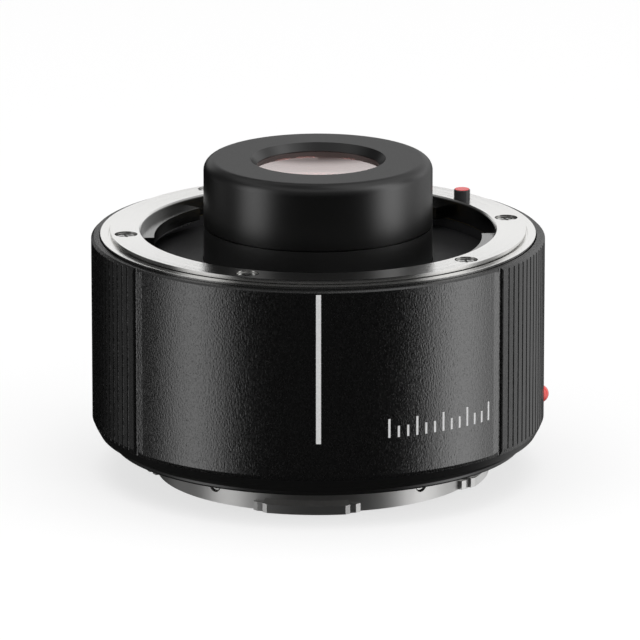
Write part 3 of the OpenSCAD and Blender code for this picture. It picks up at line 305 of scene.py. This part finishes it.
def grain(material, size, stretch=(1.0, 1.0, 1.0), detail=2.0):
    """Noise in the object's own space, with grains of about the given size."""
    tree = material.node_tree
    place = tree.nodes.new("ShaderNodeTexCoord")
    mapping = tree.nodes.new("ShaderNodeMapping")
    mapping.inputs["Scale"].default_value = [1.0 / (size * s) for s in stretch]
    noise = tree.nodes.new("ShaderNodeTexNoise")
    noise.inputs["Scale"].default_value = 1.0
    noise.inputs["Detail"].default_value = detail
    tree.links.new(place.outputs["Object"], mapping.inputs["Vector"])
    tree.links.new(mapping.outputs["Vector"], noise.inputs["Vector"])
    return noise.outputs["Fac"]


def height_in(material):
    """Height in the object's own space."""
    tree = material.node_tree
    place = tree.nodes.new("ShaderNodeTexCoord")
    split = tree.nodes.new("ShaderNodeSeparateXYZ")
    tree.links.new(place.outputs["Object"], split.inputs["Vector"])
    return split.outputs["Z"]


def radius_in(material):
    """Distance from the optical axis."""
    tree = material.node_tree
    place = tree.nodes.new("ShaderNodeTexCoord")
    flat = tree.nodes.new("ShaderNodeVectorMath")
    flat.operation = "MULTIPLY"
    flat.inputs[1].default_value = (1.0, 1.0, 0.0)
    length = tree.nodes.new("ShaderNodeVectorMath")
    length.operation = "LENGTH"
    tree.links.new(place.outputs["Object"], flat.inputs[0])
    tree.links.new(flat.outputs["Vector"], length.inputs[0])
    return length.outputs["Value"]


def turned_lines(material, pitch):
    """Noise in rings round the optical axis, on flat faces and upright walls, as a lathe leaves it."""
    tree = material.node_tree
    noise = tree.nodes.new("ShaderNodeTexNoise")
    noise.noise_dimensions = "1D"
    noise.inputs["Scale"].default_value = 1.0 / pitch
    noise.inputs["Detail"].default_value = 3.0
    along = math_node(tree, "ADD", radius_in(material), height_in(material))
    tree.links.new(along, noise.inputs["W"])
    return noise.outputs["Fac"]


def rough_up(material, height, depth):
    """Bump of the given depth."""
    tree = material.node_tree
    bump = tree.nodes.new("ShaderNodeBump")
    bump.inputs["Distance"].default_value = depth
    tree.links.new(height, bump.inputs["Height"])
    tree.links.new(bump.outputs["Normal"], shader_of(material).inputs["Normal"])


def vary_gloss(material, value, low, high):
    """Roughness between low and high."""
    tree = material.node_tree
    roughness = soft_step(tree, value, *GLOSS_SPAN, low, high)
    tree.links.new(roughness, shader_of(material).inputs["Roughness"])


def vary_colour(material, value, dark, light):
    """Colour from dark at low values to light at high ones."""
    tree = material.node_tree
    ramp = tree.nodes.new("ShaderNodeValToRGB")
    for stop, position, colour in zip(ramp.color_ramp.elements, COLOUR_SPAN, (dark, light)):
        stop.position = position
        stop.color = (*colour, 1.0)
    tree.links.new(value, ramp.inputs["Fac"])
    tree.links.new(ramp.outputs["Color"], shader_of(material).inputs["Base Color"])


def barrel_paint():
    """Black wrinkle paint with fine upright grains."""
    material = new_finish("barrel_paint", (0.2, 0.2, 0.2), 0.24, Metallic=1.0, Specular_Tint=EDGE_DIM)
    wrinkle = grain(material, 0.24 * MM, (1.0, 1.0, 1.7), 2.0)
    vary_gloss(material, wrinkle, 0.19, 0.28)
    rough_up(material, wrinkle, 0.05 * MM)
    return material


def satin_black():
    """Black anodised metal with a fine blasted grain."""
    material = new_finish("satin_black", (0.15, 0.15, 0.15), 0.33, Metallic=1.0, Specular_Tint=EDGE_DIM)
    blast = grain(material, 0.12 * MM, detail=2.0)
    vary_gloss(material, blast, 0.3, 0.36)
    rough_up(material, blast, 0.002 * MM)
    return material


def collar_black_painted_sheen():
    """The optical barrel's black anodising, made lighter than the hood's as a painted sheen for the light
    its collar catches; the collar shows under the hood.
    """
    # Base 0.3, lighter than the hood's 0.15, is a painted sheen for light the collar catches, not a
    # lighter metal
    material = new_finish("collar_black_painted_sheen", (0.3, 0.3, 0.3), 0.32, Metallic=1.0, Specular_Tint=EDGE_DIM)
    blast = grain(material, 0.12 * MM, detail=2.0)
    vary_gloss(material, blast, 0.29, 0.35)
    rough_up(material, blast, 0.002 * MM)
    return material


def black_plastic():
    """Moulded matte black plastic."""
    material = new_finish("black_plastic", (0.012, 0.012, 0.0125), 0.5)
    spark = grain(material, 0.2 * MM, detail=3.0)
    vary_gloss(material, spark, 0.45, 0.58)
    rough_up(material, spark, 0.006 * MM)
    return material


def flocked_black():
    """Dead matte black inside the optics."""
    material = new_finish("flocked_black", (0.004, 0.004, 0.004), 0.85)
    flock = grain(material, 0.15 * MM, detail=3.0)
    vary_colour(material, flock, (0.003, 0.003, 0.003), (0.006, 0.006, 0.006))
    rough_up(material, flock, 0.02 * MM)
    return material


def mount_steel():
    """Satin steel, turned on a lathe, with painted shade darkening it inside the throat."""
    steel = (0.82, 0.815, 0.8)
    material = new_finish("mount_steel", steel, 0.15, Metallic=1.0)
    shade_fade_radius = throat_radius + THROAT_SHADE_FADE
    outside_painted_shade = soft_step(material.node_tree, radius_in(material), throat_radius, shade_fade_radius)
    # The dark grey inside the throat radius is painted shade for the dim throat, not a colour of the steel
    # itself
    vary_colour(material, outside_painted_shade, (0.16, 0.16, 0.157), steel)
    lines = turned_lines(material, 0.12 * MM)
    vary_gloss(material, lines, 0.12, 0.18)
    rough_up(material, lines, 0.013 * MM)
    return material


def spigot_steel():
    """Satin steel with a fine blasted grain."""
    material = new_finish("spigot_steel", (0.8, 0.795, 0.785), 0.36, Metallic=1.0)
    blast = grain(material, 0.1 * MM, detail=2.0)
    vary_gloss(material, blast, 0.33, 0.39)
    rough_up(material, blast, 0.002 * MM)
    return material


def plain_metal(name, base, low, high, size=0.15):
    """Metal with a fine mottle in its gloss, whose size is in millimetres."""
    material = new_finish(name, base, low, Metallic=1.0)
    mottle = grain(material, size * MM, detail=3.0)
    vary_gloss(material, mottle, low, high)
    rough_up(material, mottle, 0.001 * MM)
    return material


def spring_steel():
    return plain_metal("spring_steel", (0.6, 0.6, 0.6), 0.2, 0.32)


def screw_steel():
    return plain_metal("screw_steel", (0.66, 0.66, 0.65), 0.16, 0.26)


def black_screw():
    """Blackened screw heads."""
    material = new_finish("black_screw", (0.02, 0.02, 0.02), 0.32)
    oxide = grain(material, 0.1 * MM, detail=3.0)
    vary_gloss(material, oxide, 0.26, 0.42)
    rough_up(material, oxide, 0.002 * MM)
    return material


def lock_metal():
    """Dark plated pin with a red end."""
    plating = (0.05, 0.05, 0.052)
    material = new_finish("lock_metal", plating, 0.2)
    paint_from, paint_full = (pin_top - depth for depth in RED_TIP_DEPTHS)
    tip = soft_step(material.node_tree, height_in(material), paint_from, paint_full)
    vary_colour(material, tip, plating, (0.62, 0.012, 0.015))
    vary_gloss(material, grain(material, 0.1 * MM), 0.16, 0.26)
    return material


def gold_contact():
    return plain_metal("gold_contact", (0.83, 0.62, 0.26), 0.14, 0.24, 0.1)


def shim_brass():
    return plain_metal("shim_brass", (0.7, 0.56, 0.26), 0.25, 0.38)


def frame_alloy():
    """Dark die-cast alloy."""
    return plain_metal("frame_alloy", (0.2, 0.2, 0.21), 0.45, 0.62, 0.3)


def lens_glass(name, element, colour, clear, **coat):
    """Glass with a blackened edge, for elements as wide as the given one; clear is its transmission."""
    material = new_finish(
        name, colour, 0.02, IOR=1.9, Specular_Tint=(1.0, 0.93, 0.94, 1.0), **coat
    )
    tree = material.node_tree
    clear_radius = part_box(element)[1].x - LENS_LAND
    black_radius = clear_radius + LENS_BLACKING
    radius = radius_in(material)
    edge = soft_step(tree, radius, clear_radius, black_radius)
    vary_colour(material, edge, colour, LENS_EDGE_BLACK)
    see_through = soft_step(tree, radius, black_radius, black_radius + LENS_BLACKING, clear, 0.0)
    tree.links.new(see_through, shader_of(material).inputs["Transmission Weight"])
    vary_gloss(material, grain(material, 3.0 * MM), 0.03, 0.05)
    return material


def front_glass():
    """The front element, whose coating gives a rosy shine."""
    return lens_glass(
        "front_glass", "lens_element_1", (1.0, 0.86, 0.84), 0.94,
        Coat_Weight=1.0, Coat_Tint=(1.0, 0.87, 0.85, 1.0),
    )


def middle_glass():
    return lens_glass("middle_glass", "lens_element_2", (0.97, 0.96, 0.98), 1.0)


def coated_glass():
    return lens_glass("coated_glass", "lens_element_7", (0.97, 0.96, 0.98), 1.0)


def seal_rubber():
    """Matte black rubber."""
    material = new_finish("seal_rubber", (0.01, 0.01, 0.01), 0.6)
    skin = grain(material, 0.1 * MM)
    vary_gloss(material, skin, 0.55, 0.68)
    rough_up(material, skin, 0.004 * MM)
    return material


def red_paint():
    """Gloss red enamel."""
    material = new_finish("red_paint", (0.9, 0.1, 0.09), 0.16, Coat_Weight=0.5)
    flow = grain(material, 0.5 * MM)
    vary_gloss(material, flow, 0.12, 0.2)
    rough_up(material, flow, 0.003 * MM)
    return material


def board_green():
    """Green solder resist with the weave of the board below it."""
    material = new_finish("board_green", (0.02, 0.16, 0.07), 0.35)
    weave = grain(material, 0.3 * MM, (1.0, 1.0, 4.0))
    vary_colour(material, weave, (0.014, 0.12, 0.05), (0.025, 0.19, 0.085))
    vary_gloss(material, weave, 0.3, 0.42)
    return material


def chip_black():
    """Moulded chip cases."""
    material = new_finish("chip_black", (0.02, 0.02, 0.022), 0.5)
    mould = grain(material, 0.1 * MM)
    vary_gloss(material, mould, 0.45, 0.6)
    rough_up(material, mould, 0.003 * MM)
    return material


def ribbon_amber():
    """Amber film over copper tracks."""
    material = new_finish("ribbon_amber", (0.5, 0.22, 0.04), 0.25)
    tracks = grain(material, 0.25 * MM, (1.0, 1.0, 30.0))
    vary_colour(material, tracks, (0.42, 0.17, 0.03), (0.58, 0.28, 0.06))
    vary_gloss(material, tracks, 0.2, 0.32)
    return material


def white_paint():
    """Screen-printed white paint."""
    material = new_finish("white_paint", (0.76, 0.76, 0.76), 0.5)
    print_grain = grain(material, 0.25 * MM)
    vary_colour(material, print_grain, (0.72, 0.72, 0.72), (0.8, 0.8, 0.8))
    vary_gloss(material, print_grain, 0.45, 0.6)
    rough_up(material, print_grain, 0.004 * MM)
    return material


FINISHES = {
    make.__name__: make
    for make in (
        barrel_paint, satin_black, collar_black_painted_sheen, black_plastic, flocked_black, mount_steel,
        spigot_steel, spring_steel, screw_steel, black_screw, lock_metal, gold_contact, shim_brass,
        frame_alloy, front_glass, middle_glass, coated_glass, seal_rubber, red_paint, board_green,
        chip_black, ribbon_amber,
    )
}


def dress_nodes():
    """Gives every node of the frame the finish of its slot, or its own."""
    made = {slot: make() for slot, make in FINISHES.items()}
    for node, slot in slot_of_node.items():
        for place in cad_nodes[node].material_slots:
            place.material = made[OWN_FINISH.get(node, slot)]


def paint_patch(name, turn, width, low, high):
    """One upright stroke of paint on the barrel, turned from the front to the right, left in edit mode."""
    around = math.radians(turn)
    outward = Vector((math.sin(around), -math.cos(around), 0.0))
    bpy.ops.object.select_all(action="DESELECT")
    bpy.ops.mesh.primitive_plane_add(
        size=1.0,
        location=outward * (panel_radius - PAINT_SUNK) + Vector((0.0, 0.0, (low + high) / 2)),
        rotation=(math.pi / 2, 0.0, around),
    )
    stroke = bpy.context.object
    stroke.name = name
    stroke.scale = (width, high - low, 1.0)
    bpy.ops.object.transform_apply(location=True, rotation=True, scale=True)
    bpy.ops.object.mode_set(mode="EDIT")
    bpy.ops.mesh.select_all(action="SELECT")
    bpy.ops.mesh.extrude_region_move(
        TRANSFORM_OT_translate={"value": outward * (PAINT_SUNK + PAINT_PROUD)}
    )
    bpy.ops.mesh.bevel(offset=PAINT_EDGE, segments=2, affect="EDGES")
    bpy.ops.mesh.select_all(action="SELECT")
    bpy.ops.mesh.normals_make_consistent(inside=False)
    return stroke


def repeat_round(steps, step):
    """Copies the strokes in edit mode round the optical axis, a number of steps to the right."""
    bpy.ops.mesh.select_all(action="SELECT")
    bpy.ops.mesh.spin(
        steps=steps, dupli=True, angle=math.radians(steps * step),
        center=(0.0, 0.0, 0.0), axis=(0.0, 0.0, -1.0),
    )


def finish_paint(stroke, paint):
    """Leaves edit mode and gives a painted piece its finish, body and slot."""
    bpy.ops.object.mode_set(mode="OBJECT")
    stroke.data.materials.append(paint)
    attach(stroke, "body")


def index_line(paint):
    """The upright white line at the front of the barrel."""
    stroke = paint_patch(
        "index_line", INDEX_LINE_TURN, INDEX_LINE_W, INDEX_LINE_LOW, INDEX_LINE_HIGH
    )
    finish_paint(stroke, paint)


def tick_row(paint):
    """A plain scale on the lower right of the barrel: long ticks with short ones between them."""
    long_step = TICK_STEP * TICK_STEPS_PER_LONG
    long_ticks = paint_patch("long_ticks", TICK_START, TICK_W, TICK_LOW, LONG_TICK_HIGH)
    repeat_round(LONG_TICK_COUNT - 1, long_step)
    finish_paint(long_ticks, paint)
    short_start = TICK_START + TICK_STEP
    short_ticks = paint_patch("short_ticks", short_start, TICK_W, TICK_LOW, SHORT_TICK_HIGH)
    repeat_round(TICK_STEPS_PER_LONG - 2, TICK_STEP)
    repeat_round(LONG_TICK_COUNT - 2, long_step)
    finish_paint(short_ticks, paint)


place_camera()
studio_world()
for box_name, setting in SOFT_BOXES.items():
    add_soft_box(box_name, *setting)
lay_floor()
dress_nodes()
white = white_paint()
index_line(white)
tick_row(white)
bpy.context.scene.view_settings.view_transform = "Standard"
